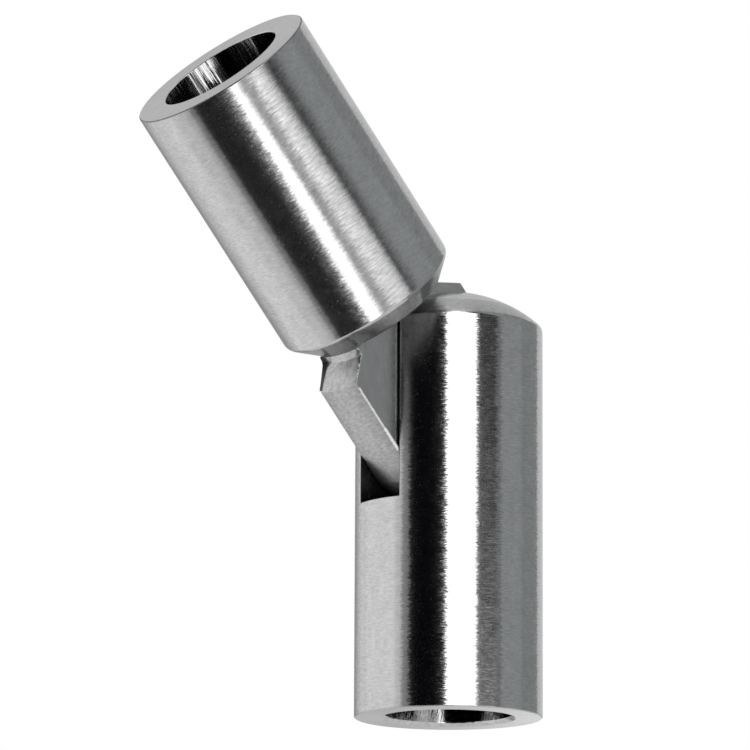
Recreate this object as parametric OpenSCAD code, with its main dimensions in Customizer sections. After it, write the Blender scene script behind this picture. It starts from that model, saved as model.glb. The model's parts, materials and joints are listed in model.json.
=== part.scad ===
// Adjustable elbow for a round handrail bar.
// A fork and a tongue, each with a socket for the bar, turn on one hinge screw.
// The origin is the centre of the fork's lower end face, and +Z runs up the fork's axis.
// The hinge axis lies along Y, and the tongue half leans towards -X.

/* [Bar sockets] */
// Diameter of the round bar that both sockets take
bar_d = 12; // [10:0.5:14]
// Radial clearance between the bar and the socket
bar_gap = 0.05; // [0.02:0.01:0.15]
// Wall of the sockets
socket_wall = 2.95; // [2.6:0.05:4]
// Solid metal between each socket and the hinge end of its half
socket_web = 3.2; // [2.5:0.1:5]
// Chamfer at the mouth of the lower socket
lower_mouth_chamfer = 0.4; // [0.1:0.1:0.8]
// Chamfer at the mouth of the upper socket
upper_mouth_chamfer = 0.1; // [0.05:0.05:0.8]

/* [Halves] */
// From the hinge axis to the fork's end face
fork_len = 28; // [27:0.5:45]
// From the hinge axis to the sleeve's end face
arm_len = 42; // [36:0.5:60]
// Radius of the fork's domed top, centred on the hinge axis
dome_r = 13.2; // [13:0.1:15]
// Rounding where the dome meets the fork's side
dome_edge_r = 0.8; // [0.2:0.1:1.5]
// Rounding in the bottom corners of the fork's slot
slot_corner_r = 0.2; // [0.1:0.05:0.2]
// Break on the sharp outer edges
edge_break = 0.12; // [0.05:0.01:0.3]

/* [Hinge] */
// Lean of the tongue half from straight, as it is shown
rest_bend = 42; // [0:1:45]
// Furthest lean from straight, to either side
bend_max = 45; // [42:1:56]
// Thickness of the tongue
tongue_t = 5.4; // [4.6:0.1:6]
// Gap between the tongue and each cheek of the fork
cheek_gap = 0.2; // [0.1:0.05:0.4]
// Gap between the sleeve's shoulder and the dome
shoulder_gap = 0.4; // [0.1:0.05:0.6]
// Corner radius of the tongue's rounded nose
nose_r = 6.5; // [5:0.5:7]
// Where the nose starts to round off, above the hinge axis
nose_start = 0.8; // [0:0.1:2]
// Gap between the nose and the slot's floor at the furthest lean
floor_gap = 0.1; // [0.1:0.05:0.5]

/* [Neck groove] */
// Width of the groove at the surface
groove_w = 4.7; // [4:0.1:5.2]
// Width of the groove's floor
groove_floor_w = 0.75; // [0.2:0.05:1]
// Depth of the groove
groove_depth = 2.3; // [2:0.1:2.8]
// From the shoulder down to the middle of the groove
groove_drop = 0.45; // [0.3:0.05:0.8]
// How much nearer to the hinge the groove's floor is than its middle
groove_skew = 0.22; // [0:0.02:0.4]
// Rounding of the sleeve's rim beside the groove
rim_r = 0.9; // [0.3:0.1:1.5]

/* [Hinge screw] */
// Thread diameter of the hinge screw
hinge_d = 5; // [4:0.5:6]
// Radial clearance between the hinge screw and what turns on it
hinge_fit = 0.05; // [0.02:0.01:0.1]
// Diameter of the countersunk head
head_d = 9.2; // [8.6:0.1:10]
// Depth of the head under the fork's surface
head_sink = 0.15; // [0.05:0.05:0.5]
// Radial clearance round the head
head_gap = 0.1; // [0.05:0.05:0.2]
// Metal left outside the blind thread in the near cheek
blind_skin = 1.5; // [1:0.1:2]
// Space between the screw's tip and the bottom of its thread
tip_gap = 0.3; // [0.1:0.1:0.6]
// Hex key that drives the hinge screw
hinge_key = 3; // [2.5:0.5:3]
// Depth of the key's socket in the head
hinge_key_depth = 1.9; // [1.2:0.1:2.2]

/* [Set screws] */
// Thread diameter of the set screws
set_d = 4; // [3:0.5:5]
// From each socket's mouth to its set screw
set_from_mouth = 8.5; // [6:0.5:10]
// Depth of the set screws under the outer surface and behind the socket wall
set_sink = 0.08; // [0.05:0.01:0.2]
// Hex key that drives the set screws
set_key = 2; // [1.5:0.5:2]
// Depth of the key's socket in the set screws
set_key_depth = 1.4; // [0.8:0.1:1.6]

/* [Hidden] */
$fn = 96;
hex_sides = 6;
thread_gap = 0.05;   // radial clearance of a screw in its thread
screw_chamfer = 0.4; // chamfer at the tip of every screw
overcut = 1;         // how far a cut runs past the surface
blend_lap = 0.001;   // how far a rounding stands out of what it blends into, for one clean edge

bore_r = bar_d / 2 + bar_gap;
body_r = bore_r + socket_wall;

slot_w = tongue_t + 2 * cheek_gap;
nose_reach = nose_r + (body_r - nose_r) * sin(bend_max) - nose_start * cos(bend_max);
slot_drop = nose_reach + floor_gap; // slot floor under the hinge axis
lower_socket_depth = fork_len - slot_drop - socket_web;

shoulder_s = dome_r + shoulder_gap; // end of the tongue's flats, along the arm
groove_s = shoulder_s - groove_drop;
groove_r = body_r - groove_depth;
sleeve_s = groove_s + groove_w / 2;
neck_s = groove_s - groove_w / 2;
floor_low_s = groove_s - groove_skew - groove_floor_w / 2;
floor_high_s = floor_low_s + groove_floor_w;
flank_angle = atan2(groove_depth, sleeve_s - floor_high_s); // of the sleeve's flank, from the axis
rim_s = sleeve_s + rim_r * tan(flank_angle / 2);            // where the rounded rim meets the side
upper_socket_depth = arm_len - sleeve_s - socket_web;

hinge_hole_r = hinge_d / 2 + hinge_fit;
head_seat_r = head_d / 2 + head_gap;
head_y = sqrt(pow(body_r, 2) - pow(head_seat_r, 2)) - head_sink;
head_cone = (head_d - hinge_d) / 2; // a 90 degree countersink
screw_tip_y = tip_gap + blind_skin - body_r;

set_outer_r = sqrt(pow(body_r, 2) - pow(set_d / 2, 2)) - set_sink;
set_tip_r = bore_r + set_sink;

// Places its children on the hinge axis, with their own Z along +Y
module on_hinge() {
    translate([0, 0, fork_len]) rotate([-90, 0, 0]) children();
}

// Places its children in the arm: their Z runs up the leaning sleeve from the hinge axis
module on_arm() {
    translate([0, 0, fork_len]) rotate([0, -rest_bend, 0]) children();
}

// Blind socket with a chamfered mouth, sunk downwards from Z = 0
module socket_cut(depth, chamfer) {
    translate([0, 0, -depth]) cylinder(r = bore_r, h = depth + overcut);
    translate([0, 0, -chamfer])
        cylinder(r1 = bore_r, r2 = bore_r + chamfer + overcut, h = chamfer + overcut);
}

// Radial hole from the socket out through the +Y side
module set_screw_hole() {
    rotate([-90, 0, 0]) cylinder(r = set_d / 2 + thread_gap, h = body_r + overcut);
}

// Half outline of the fork's turned blank: side, rounded edge, dome
module fork_outline() {
    core_r = body_r - dome_edge_r;
    edge_z = sqrt(pow(dome_r - dome_edge_r + blend_lap, 2) - pow(core_r, 2));
    dome_angle = atan2(edge_z, core_r);
    polygon([
        [0, 0], [body_r - edge_break, 0], [body_r, edge_break],
        [body_r, fork_len + edge_z], [0, fork_len + edge_z]
    ]);
    translate([0, fork_len]) intersection() {
        circle(r = dome_r);
        translate([0, edge_z - dome_edge_r]) square([dome_r * cos(dome_angle), dome_r]);
    }
    translate([core_r, fork_len + edge_z]) intersection() {
        circle(r = dome_edge_r);
        square(2 * dome_edge_r);
    }
}

// Cross section of the fork's slot, open at the top, with its floor at Y = 0
module slot_section() {
    inner_w = slot_w - 2 * slot_corner_r;
    translate([-slot_w / 2, slot_corner_r]) square([slot_w, slot_drop + dome_r + overcut]);
    translate([-inner_w / 2, 0]) square([inner_w, 2 * slot_corner_r]);
    for (side = [-1, 1]) translate([side * inner_w / 2, slot_corner_r]) circle(r = slot_corner_r);
}

module lower_fork() {
    color([0.74, 0.74, 0.75]) difference() {
        rotate_extrude() fork_outline();
        mirror([0, 0, 1]) socket_cut(lower_socket_depth, lower_mouth_chamfer);
        translate([0, 0, fork_len - slot_drop]) rotate([90, 0, 90])
            linear_extrude(2 * (body_r + overcut), center = true) slot_section();
        on_hinge() fork_hinge_cut();
        translate([0, 0, set_from_mouth]) set_screw_hole();
    }
}

// Countersink, clearance hole and blind thread for the hinge screw
module fork_hinge_cut() {
    translate([0, 0, blind_skin - body_r])
        cylinder(r = hinge_d / 2 + thread_gap, h = body_r - blind_skin);
    cylinder(r = hinge_hole_r, h = body_r);
    translate([0, 0, head_y - head_cone])
        cylinder(r1 = hinge_d / 2, r2 = head_d / 2, h = head_cone);
    translate([0, 0, head_y - head_gap]) cylinder(r = head_seat_r, h = body_r);
}

// Half outline of the turned tongue and sleeve, along the arm's axis
module arm_outline() {
    rim_hold = rim_r - blend_lap;
    polygon([
        [0, nose_start], [body_r, nose_start], [body_r, neck_s],
        [groove_r, floor_low_s], [groove_r, floor_high_s],
        [body_r - rim_r + rim_hold * cos(flank_angle), rim_s - rim_hold * sin(flank_angle)],
        [body_r - rim_r, rim_s],
        [body_r, rim_s], [body_r, arm_len - edge_break],
        [body_r - edge_break, arm_len], [0, arm_len]
    ]);
    translate([body_r - rim_r, rim_s]) intersection() {
        circle(r = rim_r);
        translate([0, -2 * rim_r]) square(2 * rim_r);
    }
    nose_core_r = body_r - nose_r;
    translate([0, nose_start - nose_r]) square([nose_core_r, nose_r]);
    intersection() {
        translate([nose_core_r, nose_start]) circle(r = nose_r);
        translate([nose_core_r, nose_start - 2 * nose_r]) square(2 * nose_r);
    }
}

module upper_tongue() {
    color([0.78, 0.78, 0.79]) on_arm() difference() {
        rotate_extrude() arm_outline();
        translate([0, 0, arm_len]) socket_cut(upper_socket_depth, upper_mouth_chamfer);
        for (side = [0, 1]) mirror([0, side, 0])
            translate([-body_r - overcut, tongue_t / 2, nose_start - nose_r - overcut])
                cube([2 * (body_r + overcut), body_r, shoulder_s - nose_start + nose_r + overcut]);
        translate([0, 0, arm_len - set_from_mouth]) set_screw_hole();
        rotate([-90, 0, 0]) cylinder(r = hinge_hole_r, h = 2 * body_r, center = true);
    }
}

module hinge_screw() {
    color([0.66, 0.66, 0.68]) on_hinge() difference() {
        rotate_extrude() polygon([
            [0, screw_tip_y], [hinge_d / 2 - screw_chamfer, screw_tip_y],
            [hinge_d / 2, screw_tip_y + screw_chamfer],
            [hinge_d / 2, head_y - head_cone], [head_d / 2, head_y], [0, head_y]
        ]);
        translate([0, 0, head_y - hinge_key_depth]) hex_key_cut(hinge_key, hinge_key_depth);
    }
}

// Hexagonal socket that a key fits, across its flats
module hex_key_cut(key, depth) {
    cylinder(r = key / 2 / cos(180 / hex_sides), h = depth + overcut, $fn = hex_sides);
}

// Headless screw, pointing out of the socket wall along +Y
module set_screw() {
    rotate([-90, 0, 0]) difference() {
        rotate_extrude() polygon([
            [0, set_tip_r], [set_d / 2 - screw_chamfer, set_tip_r],
            [set_d / 2, set_tip_r + screw_chamfer], [set_d / 2, set_outer_r], [0, set_outer_r]
        ]);
        translate([0, 0, set_outer_r - set_key_depth]) hex_key_cut(set_key, set_key_depth);
    }
}

module lower_set_screw() {
    color([0.6, 0.6, 0.62]) translate([0, 0, set_from_mouth]) set_screw();
}

module upper_set_screw() {
    color([0.6, 0.6, 0.62]) on_arm() translate([0, 0, arm_len - set_from_mouth]) set_screw();
}

lower_fork();
upper_tongue();
hinge_screw();
lower_set_screw();
upper_set_screw();
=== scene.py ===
import json
import math

import bmesh
import bpy
from mathutils import Matrix, Vector


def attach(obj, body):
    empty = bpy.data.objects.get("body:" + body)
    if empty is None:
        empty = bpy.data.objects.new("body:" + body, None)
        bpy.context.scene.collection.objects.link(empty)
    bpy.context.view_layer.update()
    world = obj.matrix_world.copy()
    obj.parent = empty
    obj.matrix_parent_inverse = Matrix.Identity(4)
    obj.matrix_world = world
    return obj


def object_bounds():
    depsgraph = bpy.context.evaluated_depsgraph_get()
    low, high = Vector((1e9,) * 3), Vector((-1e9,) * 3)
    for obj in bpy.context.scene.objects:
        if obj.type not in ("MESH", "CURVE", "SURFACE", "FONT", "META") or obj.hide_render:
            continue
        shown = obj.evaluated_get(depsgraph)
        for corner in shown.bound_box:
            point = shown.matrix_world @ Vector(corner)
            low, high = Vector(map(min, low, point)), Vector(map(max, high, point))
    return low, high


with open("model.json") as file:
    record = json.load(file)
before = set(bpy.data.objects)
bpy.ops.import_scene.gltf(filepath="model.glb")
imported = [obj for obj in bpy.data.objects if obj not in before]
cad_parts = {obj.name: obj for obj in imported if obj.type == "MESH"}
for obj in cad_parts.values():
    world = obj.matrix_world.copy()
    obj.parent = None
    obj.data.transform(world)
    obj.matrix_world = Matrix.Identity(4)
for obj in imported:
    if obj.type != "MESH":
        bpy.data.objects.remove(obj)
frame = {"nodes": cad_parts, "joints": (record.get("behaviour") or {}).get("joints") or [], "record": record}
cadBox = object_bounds()

hinge = Vector(frame["joints"][0]["pos_m"])
mounts = {m["name"]: m for m in frame["record"]["mounts"]}
armAxis = Vector(mounts["upper_socket"]["axis"])
armLean = math.atan2(-armAxis.x, armAxis.z)  # the sleeve's lean from straight, towards -X

# Camera: the photo's own view, from a little below the part

camera = {
    "azimuth": -38.93,
    "elevation": -10.86,
    "roll": 0.28,
    "distance": 0.5351,
    "slideRight": -0.00711,
    "slideUp": 0.00517,
    "lens": 267.19,
    "sensor": 36,
    "clip": (0.01, 10),
}


def viewBack(azimuth, elevation):  # from the part towards a camera there
    a, e = math.radians(azimuth), math.radians(elevation)
    return Vector((math.sin(a) * math.cos(e), -math.cos(a) * math.cos(e), math.sin(e)))


def makeCamera():
    data = bpy.data.cameras.new("photoCamera")
    data.lens, data.sensor_width = camera["lens"], camera["sensor"]
    data.clip_start, data.clip_end = camera["clip"]
    back = viewBack(camera["azimuth"], camera["elevation"])
    right = Vector((0, 0, 1)).cross(back).normalized()
    turn = Matrix.Rotation(math.radians(camera["roll"]), 3, back)
    right = turn @ right
    up = back.cross(right)
    place = hinge + back * camera["distance"] + right * camera["slideRight"] + up * camera["slideUp"]
    cam = bpy.data.objects.new("photoCamera", data)
    cam.matrix_world = Matrix.Translation(place) @ Matrix((right, up, back)).transposed().to_4x4()
    bpy.context.scene.collection.objects.link(cam)
    bpy.context.scene.camera = cam


makeCamera()
print("camera placed")

# Studio: white surroundings, a pale floor, and cards that only the metal sees

studio = {
    "white": 1.0,
    "floorDrop": 0.16,
    "floorSize": 3.0,
    "floorShade": 0.8,
    "floorRoughness": 0.9,
    "cardStep": 4.0,  # degrees, at most, from one row of a card's points to the next
}

# Each card spans azimuths to the camera's right and elevations, in degrees.
# It stands on the wide ring round the part, or on the close one for what the part sees from below.
wide, close = 0.36, 0.17
cards = [
    {"name": "edgeCard", "azimuth": (-70, -60), "elevation": (-28, 86), "reach": wide, "glow": 0.8},
    {"name": "edgeCardDim", "azimuth": (-60, -50), "elevation": (-28, 86), "reach": wide, "glow": 0.3},
    {"name": "blackFlag", "azimuth": (-50, -2.5), "elevation": (-28, 86), "reach": wide, "glow": 0.002},
    {"name": "edgeCardLow", "azimuth": (-74, -63), "elevation": (-76, -21), "reach": close, "glow": 0.62},
    {"name": "edgeCardLowDim", "azimuth": (-63, -52), "elevation": (-76, -21), "reach": close, "glow": 0.25},
    {"name": "blackFlagLow", "azimuth": (-52, 9.5), "elevation": (-76, -21), "reach": close, "glow": 0.02},
    {"name": "softbox", "azimuth": (-2.5, 35), "elevation": (-8, 70), "reach": wide, "glow": 2.6},
    {"name": "softboxLow", "azimuth": (9.5, 23.5), "elevation": (-62, -21), "reach": close, "glow": 3.0},
    {"name": "gapLow", "azimuth": (23.5, 33), "elevation": (-62, -21), "reach": close, "glow": 0.35},
    {"name": "gap", "azimuth": (24.5, 35), "elevation": (-28, -8), "reach": wide, "glow": 0.35},
    {"name": "paleCard", "azimuth": (35, 60), "elevation": (-28, -1), "reach": wide, "glow": 1.05},
    {"name": "darkFlag", "azimuth": (35, 61), "elevation": (-1, 75), "reach": wide, "glow": 0.03},
    {"name": "dimFlag", "azimuth": (61, 67), "elevation": (-28, 75), "reach": wide, "glow": 0.2},
    {"name": "greyFlag", "azimuth": (67, 100), "elevation": (-28, 75), "reach": wide, "glow": 0.37},
    {"name": "greyFlagSide", "azimuth": (100, 137), "elevation": (-28, 75), "reach": wide, "glow": 0.31},
    {"name": "backCard", "azimuth": (137, 187), "elevation": (-28, 78), "reach": wide, "glow": 0.68},
    {"name": "backCardTop", "azimuth": (187, 222), "elevation": (24, 78), "reach": wide, "glow": 0.68},
    {"name": "backCardDim", "azimuth": (187, 205), "elevation": (-28, 24), "reach": wide, "glow": 0.36},
    {"name": "leftCardDim", "azimuth": (205, 213), "elevation": (-28, 24), "reach": wide, "glow": 0.54},
    {"name": "leftCard", "azimuth": (213, 221), "elevation": (-28, 24), "reach": wide, "glow": 0.72},
    {"name": "leftCardPale", "azimuth": (221, 238), "elevation": (-28, 24), "reach": wide, "glow": 0.87},
    {"name": "sideCardLow", "azimuth": (-140, -98), "elevation": (-60, -21), "reach": close, "glow": 0.97},
]
tints = {  # the other cards are white
    "greyFlag": (0.96, 1.0, 1.01),
    "greyFlagSide": (0.96, 1.0, 1.01),
    "dimFlag": (0.96, 1.0, 1.02),
    "blackFlag": (0.7, 0.75, 1.3),
}


def linkObject(name, mesh):
    piece = bpy.data.objects.new(name, mesh)
    bpy.context.scene.collection.objects.link(piece)
    return piece


def glowMaterial(name, strength, tint):
    material = bpy.data.materials.new(name)
    material.use_nodes = True
    nodes, links = material.node_tree.nodes, material.node_tree.links
    nodes.clear()
    glow = nodes.new("ShaderNodeEmission")
    glow.inputs["Color"].default_value = (*tint, 1)
    glow.inputs["Strength"].default_value = strength
    out = nodes.new("ShaderNodeOutputMaterial")
    links.new(glow.outputs[0], out.inputs["Surface"])
    return material


def makeCard(card):
    middle = (cadBox[0] + cadBox[1]) / 2
    low, high = (math.radians(e) for e in card["elevation"])
    left, right = (math.radians(camera["azimuth"] + a) for a in card["azimuth"])
    start = viewBack(math.degrees(left), math.degrees(low)) * card["reach"] + middle
    side = viewBack(math.degrees(left) + 90, 0)
    bm = bmesh.new()
    bm.verts.new(start)
    bm.verts.ensure_lookup_table()
    rises = math.ceil(math.degrees(high - low) / studio["cardStep"])
    bmesh.ops.spin(bm, geom=bm.verts[:], cent=middle, axis=side, angle=low - high, steps=rises)
    turns = math.ceil(math.degrees(right - left) / studio["cardStep"])
    bmesh.ops.spin(bm, geom=bm.verts[:] + bm.edges[:], cent=middle, axis=(0, 0, 1),
                   angle=right - left, steps=turns)
    mesh = bpy.data.meshes.new(card["name"])
    bm.to_mesh(mesh)
    bm.free()
    mesh.materials.append(glowMaterial(card["name"], card["glow"], tints.get(card["name"], (1, 1, 1))))
    piece = linkObject(card["name"], mesh)
    piece.visible_camera = piece.visible_diffuse = piece.visible_shadow = False


def makeFloor():
    bm = bmesh.new()
    bmesh.ops.create_grid(bm, x_segments=1, y_segments=1, size=studio["floorSize"] / 2)
    bmesh.ops.translate(bm, vec=(0, 0, -studio["floorDrop"]), verts=bm.verts)
    mesh = bpy.data.meshes.new("floor")
    bm.to_mesh(mesh)
    bm.free()
    material = bpy.data.materials.new("paleFloor")
    material.use_nodes = True
    shader = material.node_tree.nodes["Principled BSDF"]
    shader.inputs["Base Color"].default_value = (*[studio["floorShade"]] * 3, 1)
    shader.inputs["Roughness"].default_value = studio["floorRoughness"]
    shader.inputs["Specular IOR Level"].default_value = 0
    mesh.materials.append(material)
    linkObject("floor", mesh)


def makeWorld():
    world = bpy.data.worlds.new("whiteRoom")
    bpy.context.scene.world = world
    world.use_nodes = True
    world.node_tree.nodes["Background"].inputs["Color"].default_value = (1, 1, 1, 1)
    world.node_tree.nodes["Background"].inputs["Strength"].default_value = studio["white"]


for card in cards:
    makeCard(card)
makeFloor()
makeWorld()
bpy.context.scene.view_settings.view_transform = "Standard"
print("studio ready")

# Steel: turned and brushed round each half's own axis

# Marks are given by their length round the axis and their width along it, in metres
steel = {
    "side": 0.009,  # radius of the turned side
    "sideSlack": 0.00005,
    "bore": 0.00605,  # radius of the sockets
    "boreSlack": 0.0001,
    "roundFacing": (0.75, 0.85),  # how far a normal is along the radius, where roundness sets in
    "burrFacing": (0.64, 0.77),  # a burr faces outwards by the first and sideways by the second
    "fan": 1.37,  # steps outwards count this much as steps along, so end faces have rings too
    "grain": (0.0006, 0.0001),
    "grainShift": (7.3, 2.1, 9.4),  # to a second grain, unlike the first
    "blotch": (0.0006, 0.00025),
    "streak": (0.0011, 0.00013),
    "mottleSize": 0.00016,
    "speckSize": 0.00013,
    "cloudSize": 0.0012,
    "noiseSpan": (0.3, 0.7),  # most of a noise lies in it
    "cloudSpan": (0.35, 0.75),
    "speckSpan": (0.79, 0.86),
    "grainRough": 0.02,
    "cloudRough": 0.035,
    "speckRough": 0.14,
    "grainShade": (0.88, 1.11),
    "cloudShade": (0.93, 1.05),
}

# Scratches along the bores tilt the surface, deep in the glints and faint elsewhere. The bore's colour is
# painted light: painted shade darkens it away from the glints, and painted glints and fine bright streaks
# lighten them
boreMarksAndPaintedLight = {
    "turns": 50.0,
    "perMetre": 220.0,
    "finer": (2.3, 2.3, 3.0),
    "bias": 0.31,  # less than half, so most of them lean towards the mouth
    "restDepth": 0.02,
    "depthSpan": (0.02, 0.5),
    "depthShade": (0.35, 0.8),
    "fineSpan": (0.35, 0.65),
    "fineShade": (0.45, 1.3),
}


def below(limit):  # the other end is open: no place or normal here is under -1 or over 2
    return (-1, limit)


def above(limit):
    return (limit, 2)


# A zone is where all its tests hold. radius, along (the half's axis), side (|y|), x and y bound
# the place in metres from the hinge, facing the normal's |y|, and endward its share out of the
# mouth. Blotches move a ragged zone's side and leave spots of a spotted one, one with fade sets
# in along the axis, and a burr has its normal turned. shade multiplies the colour, rough and
# blotch are added to the half's own, and streaks is how much fine turning marks show.
def zone(kind, shade=1, rough=0, blotch=0, **tests):
    return {"kind": kind, "shade": shade, "rough": rough, "blotch": blotch, **tests}


turnedSide, outerRim, insideBore = above(0.0089), above(0.0088), below(0.0064)

# mouth is the way that the socket opens along the axis, and slant how the bore's scratches lean.
# A glint lies to one side of the bore, full inside its inner cosine and gone outside the outer.
forkLook = {
    "color": 0.57,
    "roughness": 0.17,
    "anisotropic": 0.8,
    "tilt": 0.14,
    "mottle": 0.008,
    "blotch": 0.3,
    "mouth": -1,
    "slant": (-1400, 1130),
    "glints": [
        {"toward": (0.362, 0.932), "inner": 0.985, "outer": 0.955, "depth": 1.1},
        {"toward": (-0.278, 0.961), "inner": 0.95, "outer": 0.8, "depth": 0.45},
        {"toward": (0.998, 0.065), "inner": 0.995, "outer": 0.95, "depth": 0.5},
    ],
    # painted light: the end face is painted darker towards one side and lighter towards the other
    "paintedLight": {"toward": (0.778, -0.628, 0.0), "span": (-0.006, 0.0085), "shade": (0.7, 1.72)},
    "zones": [
        # painted shade: the bore's inside is darker
        zone("bore", radius=insideBore, along=(-0.0276, -0.0085), shade=0.9, rough=-0.04),
        zone("endFace", along=below(-0.0279), endward=above(0.93), shade=0.93),
        zone("rim", radius=outerRim, along=below(-0.0279), endward=(0.05, 0.93), rough=0.25),
        # painted shade: the near cheek's top beside the slot is darker
        zone("cheekNear", radius=turnedSide, along=above(0.0058), x=below(0), y=(-0.0064, -0.0029),
             shade=0.6, rough=0.05, blotch=0.3),
        # painted shade: a darker band down the near cheek beside the slot, fading in upwards
        zone("cheekEdge", radius=turnedSide, along=(-0.0042, 0.0058), x=below(0), y=(-0.0043, -0.0029),
             fade=(-0.0042, -0.0005), shade=0.55, rough=0.05, blotch=0.3),
        # painted highlight: a bright line along the near cheek's slot edge
        zone("cheekLine", radius=turnedSide, along=above(-0.0005), x=below(0), y=(-0.0031, -0.0029),
             shade=1.8, rough=0.1, blotch=0.6),
        # painted shade: the slot's inside, apart from its floor, is dark
        zone("slot", along=above(-0.00785), side=below(0.00295), endward=above(-0.7), shade=0.2, rough=0.1),
        zone("turned", radius=turnedSide, along=(-0.028, 0.0098), streaks=0.4),
        # painted shade: the dome below the sleeve is darker
        zone("domeRim", radius=(0.0065, 0.0089), along=above(0.0098), shade=0.84, rough=0.06, blotch=0.2),
        # a turning line on the dome, painted lighter as a painted highlight
        zone("domeLine", radius=(0.0064, 0.0065), along=above(0.0098), shade=1.25),
    ],
}
tongueLook = {
    "color": 0.57,
    "roughness": 0.17,
    "anisotropic": 0.8,
    "tilt": 0.09,
    "mottle": 0.01,
    "blotch": 0.3,
    "mouth": 1,
    "slant": (0, 0),
    "glints": [
        {"toward": (0.358, 0.934), "inner": 0.975, "outer": 0.93, "depth": 0.9},
        {"toward": (-0.302, 0.954), "inner": 0.95, "outer": 0.8, "depth": 0.45},
        {"toward": (0.917, 0.4), "inner": 0.985, "outer": 0.95, "depth": 0.5},
    ],
    "zones": [
        # painted shade: the bore's inside is darker
        zone("bore", radius=insideBore, along=(0.018, 0.0419), shade=0.9, rough=-0.04),
        zone("endFace", along=above(0.0419), endward=above(0.93), shade=0.92, blotch=-0.15),
        # painted shade: the sleeve end's rounded rim is darker, so it shows no bright edge
        zone("rim", radius=outerRim, along=above(0.0419), endward=(0.05, 0.93), shade=0.4, rough=0.3),
        zone("flat", radius=below(0.00899), along=below(0.0136), side=above(0.00269),
             shade=0.88, rough=0.05, blotch=0.1),
        zone("nose", radius=above(0.0070), along=below(0.0108), side=below(0.00269),
             shade=0.8, rough=0.2, blotch=0.9),
        # a burr along the flat's edge: its normal is turned, and it is painted lighter as a painted highlight
        zone("edgeLine", radius=above(0.00885), along=(-0.001, 0.0104), side=(0.00262, 0.00275),
             ragged=0.0002, burr=True, shade=1.5, rough=-0.02, blotch=-0.8),
        # the same burr's wider lower end, also painted lighter as a painted highlight
        zone("edgeLineWide", radius=above(0.00878), along=(-0.001, 0.0056), side=(0.00254, 0.00275),
             ragged=0.0002, burr=True, shade=1.2),
        # burr spots along the neck's near edge: turned normals, and painted lighter as a painted highlight
        zone("neckEdge", radius=(0.0060, 0.00885), along=(0.0104, 0.0134), side=(0.00254, 0.00275),
             y=below(0), facing=below(0.93), ragged=0.0005, spotted=0.04, burr=True, shade=1.2, rough=0.1),
        zone("neck", radius=(0.0060, 0.00896), along=(0.0108, 0.01256), side=below(0.00269),
             shade=0.86, rough=0.15, blotch=1.0),
        zone("grooveFloor", radius=(0.0060, 0.0072), along=(0.01256, 0.01331), side=below(0.00269),
             shade=0.92, rough=0.1, blotch=0.4),
        # turning streaks shown stronger and painted a little lighter where a bright band of light falls: real
        # marks and a painted highlight
        zone("brushedSheen", radius=turnedSide, along=above(0.0158), x=(-0.0042, -0.0022), y=below(0),
             streaks=0.6, shade=1.05),
        zone("turned", radius=turnedSide, along=above(0.0158), streaks=0.5),
        # painted shade: the groove's flank under the sleeve's rim is darker
        zone("flank", radius=(0.0020, 0.0088), along=(0.01331, 0.0158), shade=0.58, rough=0.1, blotch=0.3),
    ],
}
# painted shade: the burr's steel is near black, as its inner face lies in shade
burrLook = {
    "color": 0.09,
    "roughness": 0.4,
    "anisotropic": 0,
    "tilt": 0.08,
    "mottle": 0.03,
    "blotch": 0.5,
    "mouth": 1,
    "zones": [],
}
screwLook = {
    "color": 0.5,
    "roughness": 0.3,
    "anisotropic": 0.5,
    "tilt": 0.1,
    "mottle": 0.03,
    "blotch": 0.15,
    "mouth": 1,
    "zones": [],
}


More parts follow.
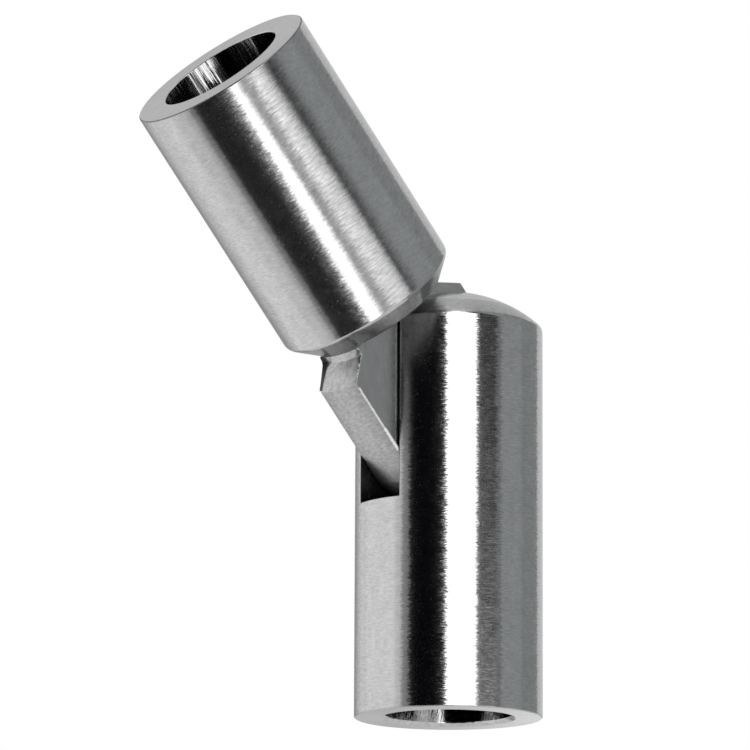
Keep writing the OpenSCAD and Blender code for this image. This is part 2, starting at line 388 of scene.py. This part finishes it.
class Graph:  # short words for building a material's nodes
    def __init__(self, name):
        self.material = bpy.data.materials.new(name)
        self.material.use_nodes = True
        self.tree = self.material.node_tree
        self.shader = self.tree.nodes["Principled BSDF"]

    def node(self, kind, **settings):
        made = self.tree.nodes.new(kind)
        for key, value in settings.items():
            setattr(made, key, value)
        return made

    def feed(self, socket, value):
        if isinstance(value, bpy.types.NodeSocket):
            self.tree.links.new(value, socket)
        else:
            socket.default_value = value

    def feedAll(self, sockets, values):
        for socket, value in zip(sockets, values):
            self.feed(socket, value)

    def maths(self, operation, *values):
        made = self.node("ShaderNodeMath", operation=operation)
        self.feedAll(made.inputs, values)
        return made.outputs[0]

    def times(self, first, *others):
        for other in others:
            first = self.maths("MULTIPLY", first, other)
        return first

    def centred(self, value):  # a noise, round zero
        return self.maths("SUBTRACT", value, 0.5)

    def within(self, value, limits):  # 1 inside the limits, otherwise 0
        low, high = limits
        return self.times(self.maths("GREATER_THAN", value, low), self.maths("LESS_THAN", value, high))

    def ranged(self, value, span, result):  # carries the first span over to the second
        made = self.node("ShaderNodeMapRange")
        self.feed(made.inputs["Value"], value)
        for key, number in zip(("From Min", "From Max", "To Min", "To Max"), (*span, *result)):
            made.inputs[key].default_value = number
        return made.outputs["Result"]

    def blend(self, factor, first, second):  # of numbers
        made = self.node("ShaderNodeMix", data_type="FLOAT")
        self.feedAll((made.inputs[0], made.inputs[2], made.inputs[3]), (factor, first, second))
        return made.outputs[0]

    def blendVectors(self, factor, first, second):
        made = self.node("ShaderNodeMix", data_type="VECTOR")
        self.feedAll((made.inputs[0], made.inputs[4], made.inputs[5]), (factor, first, second))
        return made.outputs[1]

    def vector(self, operation, *values):
        made = self.node("ShaderNodeVectorMath", operation=operation)
        self.feedAll(made.inputs, values)
        return made.outputs["Value" if operation in ("LENGTH", "DOT_PRODUCT") else "Vector"]

    def scaled(self, vector, amount):
        made = self.node("ShaderNodeVectorMath", operation="SCALE")
        self.feed(made.inputs["Vector"], vector)
        self.feed(made.inputs["Scale"], amount)
        return made.outputs["Vector"]

    def turned(self, vector, angle):  # about Y
        made = self.node("ShaderNodeMapping", vector_type="VECTOR")
        made.inputs["Rotation"].default_value = (0, angle, 0)
        self.feed(made.inputs["Vector"], vector)
        return made.outputs[0]

    def toWorld(self, vector):
        made = self.node("ShaderNodeVectorTransform", vector_type="VECTOR",
                         convert_from="OBJECT", convert_to="WORLD")
        self.feed(made.inputs[0], vector)
        return made.outputs[0]

    def split(self, vector):
        made = self.node("ShaderNodeSeparateXYZ")
        self.feed(made.inputs[0], vector)
        return made.outputs

    def join(self, x, y, z):
        made = self.node("ShaderNodeCombineXYZ")
        self.feedAll(made.inputs, (x, y, z))
        return made.outputs[0]

    def noise(self, vector, scale=1.0, detail=2.0, roughness=0.5, output="Fac"):
        made = self.node("ShaderNodeTexNoise")
        self.feed(made.inputs["Vector"], vector)
        made.inputs["Scale"].default_value = scale
        made.inputs["Detail"].default_value = detail
        made.inputs["Roughness"].default_value = roughness
        return made.outputs[output]


def surfacePlace(g, mouth, lean):  # where a point is and how it faces, in its own half
    coords = g.node("ShaderNodeTexCoord")
    local = g.turned(g.vector("SUBTRACT", coords.outputs["Object"], tuple(hinge)), lean)
    normal = g.turned(coords.outputs["Normal"], lean)
    x, y, z = g.split(local)
    flat = g.join(x, y, 0.0)
    radial = g.vector("NORMALIZE", flat)
    outX, outY, _ = g.split(radial)
    _, normalY, normalZ = g.split(normal)
    return {
        "local": local,
        "normal": normal,
        "radial": radial,
        "outX": outX,
        "outY": outY,
        "radius": g.vector("LENGTH", flat),
        "along": z,
        "side": g.maths("ABSOLUTE", y),
        "x": x,
        "y": y,
        "facing": g.maths("ABSOLUTE", normalY),
        "endward": g.times(normalZ, mouth),
    }


def markPlace(g, at, mark, fan=0):  # for a noise that makes marks round the axis
    length, width = mark
    turns = steel["side"] / length
    along = g.maths("MULTIPLY_ADD", at["radius"], fan, at["along"]) if fan else at["along"]
    return g.join(g.times(at["outX"], turns), g.times(at["outY"], turns), g.maths("DIVIDE", along, width))


def zoneMask(g, part, at, blotches):
    places = ("radius", "along", "side", "x", "y", "facing", "endward")
    tests = [g.within(at[key], part[key]) for key in places if key in part]
    if "ragged" in part:
        raggedSide = g.maths("MULTIPLY_ADD", blotches, part["ragged"], at["side"])
        tests.append(g.maths("GREATER_THAN", raggedSide, part["side"][0]))
    if "fade" in part:
        tests.append(g.ranged(at["along"], part["fade"], (0, 1)))
    if "spotted" in part:
        tests.append(g.maths("GREATER_THAN", blotches, part["spotted"]))
    return g.times(*tests)


def burrNormal(g, at):  # halfway between the turned side and the flats
    outward, sideways = steel["burrFacing"]
    y = g.maths("MULTIPLY_ADD", g.maths("SIGN", at["y"]), sideways, g.times(at["outY"], outward))
    return g.join(g.times(at["outX"], outward), y, 0.0)


def trueNormal(g, look, at, masks):  # the side and the bores are round, though the mesh has facets
    outward = g.vector("DOT_PRODUCT", at["normal"], at["radial"])
    low, high = steel["roundFacing"]
    sideSpan = (steel["side"] - steel["sideSlack"], 1)
    boreSpan = (steel["bore"] - steel["boreSlack"], steel["bore"] + steel["boreSlack"])
    onSide = g.times(g.ranged(outward, (low, high), (0, 1)), g.within(at["radius"], sideSpan))
    onBore = g.times(g.ranged(outward, (-low, -high), (0, 1)), g.within(at["radius"], boreSpan))
    normal = g.blendVectors(onSide, at["normal"], at["radial"])
    burrs = [masks[part["kind"]] for part in look["zones"] if "burr" in part]
    if burrs:
        onBurr = burrs[0]
        for mask in burrs[1:]:
            onBurr = g.maths("MAXIMUM", onBurr, mask)
        normal = g.blendVectors(onBurr, normal, burrNormal(g, at))
    if "endFace" in masks:  # flat right up to its rims
        normal = g.blendVectors(masks["endFace"], normal, (0.0, 0.0, float(look["mouth"])))
    return g.vector("NORMALIZE", g.blendVectors(onBore, normal, g.scaled(at["radial"], -1.0)))


def turningMarks(g, look, at, roundAbout, across):  # a grain, and how far it tilts the surface
    place = markPlace(g, at, steel["grain"], steel["fan"])
    grain = g.noise(place, detail=2.0, roughness=0.55)
    grainTwo = g.noise(g.vector("ADD", place, steel["grainShift"]), detail=2.0, roughness=0.55)
    mottle = g.noise(at["local"], scale=1 / steel["mottleSize"], detail=1.5, output="Color")
    mottle = g.vector("SUBTRACT", mottle, (0.5, 0.5, 0.5))
    tilt = g.vector("ADD", g.scaled(roundAbout, g.times(g.centred(grain), look["tilt"])),
                    g.scaled(across, g.times(g.centred(grainTwo), look["tilt"])))
    return grain, g.vector("ADD", tilt, g.scaled(mottle, look["mottle"]))


def boreScratchesAndPaintedLight(g, look, at):  # how far the scratches tilt a bore, and the bore's painted shade and painted glints
    slantX, slantY = look["slant"]
    turns = boreMarksAndPaintedLight["turns"]
    place = g.join(g.maths("MULTIPLY_ADD", at["along"], slantX, g.times(at["outX"], turns)),
                   g.maths("MULTIPLY_ADD", at["along"], slantY, g.times(at["outY"], turns)),
                   g.times(at["along"], boreMarksAndPaintedLight["perMetre"]))
    scratches = g.noise(place, detail=4.0, roughness=0.65)
    fine = g.noise(g.vector("MULTIPLY", place, boreMarksAndPaintedLight["finer"]), detail=2.0, roughness=0.6)
    depth = boreMarksAndPaintedLight["restDepth"]
    for glint in look["glints"]:
        toward = g.vector("DOT_PRODUCT", at["radial"], (*glint["toward"], 0.0))
        depth = g.maths("ADD", depth, g.ranged(toward, (glint["outer"], glint["inner"]), (0, glint["depth"])))
    lean = g.times(g.maths("SUBTRACT", scratches, boreMarksAndPaintedLight["bias"]), g.times(depth, look["mouth"]))
    shade = g.times(g.ranged(depth, boreMarksAndPaintedLight["depthSpan"], boreMarksAndPaintedLight["depthShade"]),
                    g.ranged(fine, boreMarksAndPaintedLight["fineSpan"], boreMarksAndPaintedLight["fineShade"]))
    return g.join(0.0, 0.0, lean), shade


def plainFinish(g, look, at, grain):  # shade and roughness where no zone changes them
    clouds = g.noise(at["local"], scale=1 / steel["cloudSize"], detail=4.0, roughness=0.6)
    specks = g.noise(at["local"], scale=1 / steel["speckSize"], detail=0.0)
    base, spread = look["roughness"], steel["grainRough"]
    roughness = g.ranged(grain, steel["noiseSpan"], (base - spread, base + spread))
    roughness = g.maths("ADD", roughness, g.ranged(clouds, steel["cloudSpan"], (0.0, steel["cloudRough"])))
    roughness = g.maths("ADD", roughness, g.ranged(specks, steel["speckSpan"], (0.0, steel["speckRough"])))
    shade = g.times(g.ranged(clouds, steel["noiseSpan"], steel["cloudShade"]), look["color"],
                    g.ranged(grain, steel["noiseSpan"], steel["grainShade"]))
    return shade, roughness


def zoneFinish(g, look, at, masks, blotches, shade, roughness):
    streaks = g.centred(g.noise(markPlace(g, at, steel["streak"]), detail=3.0, roughness=0.6))
    blotch = look["blotch"]
    for part in look["zones"]:
        mask = masks[part["kind"]]
        if "streaks" in part:
            depth = g.times(mask, part["streaks"])
            shade = g.times(shade, g.maths("MULTIPLY_ADD", depth, streaks, 1.0))
        shade = g.times(shade, g.ranged(mask, (0, 1), (1.0, part["shade"])))
        roughness = g.maths("MULTIPLY_ADD", mask, part["rough"], roughness)
        blotch = g.maths("MULTIPLY_ADD", mask, part["blotch"], blotch)
    return g.times(shade, g.maths("MULTIPLY_ADD", blotches, blotch, 1.0)), roughness


def steelMaterial(name, look, lean):
    g = Graph(name)
    at = surfacePlace(g, look["mouth"], lean)
    blotches = g.noise(markPlace(g, at, steel["blotch"], steel["fan"]), detail=4.0, roughness=0.65)
    blotches = g.centred(blotches)
    masks = {part["kind"]: zoneMask(g, part, at, blotches) for part in look["zones"]}
    normal = trueNormal(g, look, at, masks)
    roundAbout = g.join(g.times(at["outY"], -1.0), at["outX"], 0.0)
    across = g.vector("CROSS_PRODUCT", roundAbout, normal)
    tangent = across
    grain, tilt = turningMarks(g, look, at, roundAbout, across)
    shade, roughness = plainFinish(g, look, at, grain)
    # painted shade deep in the bore and painted glints to its sides, as well as the scratches' tilt
    if "bore" in masks:
        boreTilt, borePaintedLight = boreScratchesAndPaintedLight(g, look, at)
        tilt = g.blendVectors(masks["bore"], tilt, boreTilt)
        tangent = g.blendVectors(masks["bore"], across, roundAbout)
        shade = g.times(shade, g.blend(masks["bore"], 1.0, borePaintedLight))
    # painted light across the end face: darker to one side, lighter to the other
    if "paintedLight" in look:
        paintedLight = g.vector("DOT_PRODUCT", at["local"], look["paintedLight"]["toward"])
        paintedLight = g.ranged(paintedLight, look["paintedLight"]["span"], look["paintedLight"]["shade"])
        shade = g.times(shade, g.blend(masks["endFace"], 1.0, paintedLight))
    shade, roughness = zoneFinish(g, look, at, masks, blotches, shade, roughness)

    tilted = g.toWorld(g.turned(g.vector("ADD", normal, tilt), -lean))
    g.feed(g.shader.inputs["Normal"], g.vector("NORMALIZE", tilted))
    g.feed(g.shader.inputs["Tangent"], g.toWorld(g.turned(tangent, -lean)))
    g.feed(g.shader.inputs["Roughness"], roughness)
    g.feed(g.shader.inputs["Base Color"], g.join(shade, shade, shade))
    g.shader.inputs["Metallic"].default_value = 1.0
    g.shader.inputs["Anisotropic"].default_value = look["anisotropic"]
    return g.material


# A burr left along the neck's edge on the far side. It has three corners at each place along
# the half's axis: on the neck's cone, at its tip and inside the far flat. In metres from the hinge.
neckBurr = {
    "along": (0.0109, 0.0111, 0.0114, 0.0117, 0.012, 0.0123, 0.0126, 0.0129, 0.0132, 0.01335),
    "rise": (0.00002, 0.00008, 0.0001, 0.00016, 0.00022, 0.0003, 0.00032, 0.00016, 0.00013, 0.00008),
    "inner": 0.00245,
    "tip": 0.00284,
    "flat": 0.00268,
    "innerSink": 0.00002,
    "flatSink": 0.00015,
    "coneTop": (0.0108, 0.009),  # place along the axis, and radius
    "coneFoot": (0.012555, 0.0067),
}


def burrOutline(along, rise):
    topAlong, topRadius = neckBurr["coneTop"]
    footAlong, footRadius = neckBurr["coneFoot"]
    part = min(1, (along - topAlong) / (footAlong - topAlong))
    radius = topRadius + part * (footRadius - topRadius)
    inner, tip, flat = neckBurr["inner"], neckBurr["tip"], neckBurr["flat"]
    atInner, atFlat = math.sqrt(radius ** 2 - inner ** 2), math.sqrt(radius ** 2 - flat ** 2)
    corners = [
        (atInner - neckBurr["innerSink"], inner),
        (atInner + rise, tip),
        (atFlat - neckBurr["flatSink"], flat),
    ]
    turn = Matrix.Rotation(-armLean, 3, "Y")
    return [hinge + turn @ Vector((-reach, y, along)) for reach, y in corners]


def makeNeckBurr():
    outlines = [burrOutline(*station) for station in zip(neckBurr["along"], neckBurr["rise"])]
    bm = bmesh.new()
    end = bm.faces.new([bm.verts.new(corner) for corner in outlines[0]])
    inside = []
    for outline in outlines[1:]:
        made = bmesh.ops.extrude_face_region(bm, geom=[end])["geom"]
        end = next(part for part in made if isinstance(part, bmesh.types.BMFace))
        inside.append(end)
        for vert, corner in zip(end.verts, outline):
            vert.co = corner
    bmesh.ops.delete(bm, geom=inside[:-1], context="FACES_ONLY")
    bmesh.ops.recalc_face_normals(bm, faces=bm.faces)
    mesh = bpy.data.meshes.new("neckBurr")
    bm.to_mesh(mesh)
    bm.free()
    mesh.materials.append(steelMaterial("burrSteel", burrLook, armLean))
    piece = linkObject("neckBurr", mesh)
    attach(piece, "tongue_half")


# The CAD's sharp edges, broken a little
softEdge = {
    "width": 0.00003,
    "segments": 2,
    "sharpAngle": 30,
    "flatAngle": 0.6,  # facets that meet at less than this become one face first
    "weld": 1e-7,
}


def softenEdges(piece):
    weld = piece.modifiers.new("weld", "WELD")
    weld.merge_threshold = softEdge["weld"]
    flats = piece.modifiers.new("flats", "DECIMATE")
    flats.decimate_type, flats.angle_limit = "DISSOLVE", math.radians(softEdge["flatAngle"])
    bevel = piece.modifiers.new("edges", "BEVEL")
    bevel.width, bevel.segments = softEdge["width"], softEdge["segments"]
    bevel.limit_method, bevel.angle_limit = "ANGLE", math.radians(softEdge["sharpAngle"])
    bevel.use_clamp_overlap, bevel.harden_normals = False, True


finishes = {
    "lower_fork": steelMaterial("forkSteel", forkLook, 0.0),
    "upper_tongue": steelMaterial("tongueSteel", tongueLook, armLean),
    "hinge_screw": steelMaterial("screwSteel", screwLook, 0.0),
}
finishes["lower_set_screw"] = finishes["upper_set_screw"] = finishes["hinge_screw"]
for name, material in finishes.items():
    frame["nodes"][name].material_slots[0].material = material
    softenEdges(frame["nodes"][name])
makeNeckBurr()
print("steel dressed")
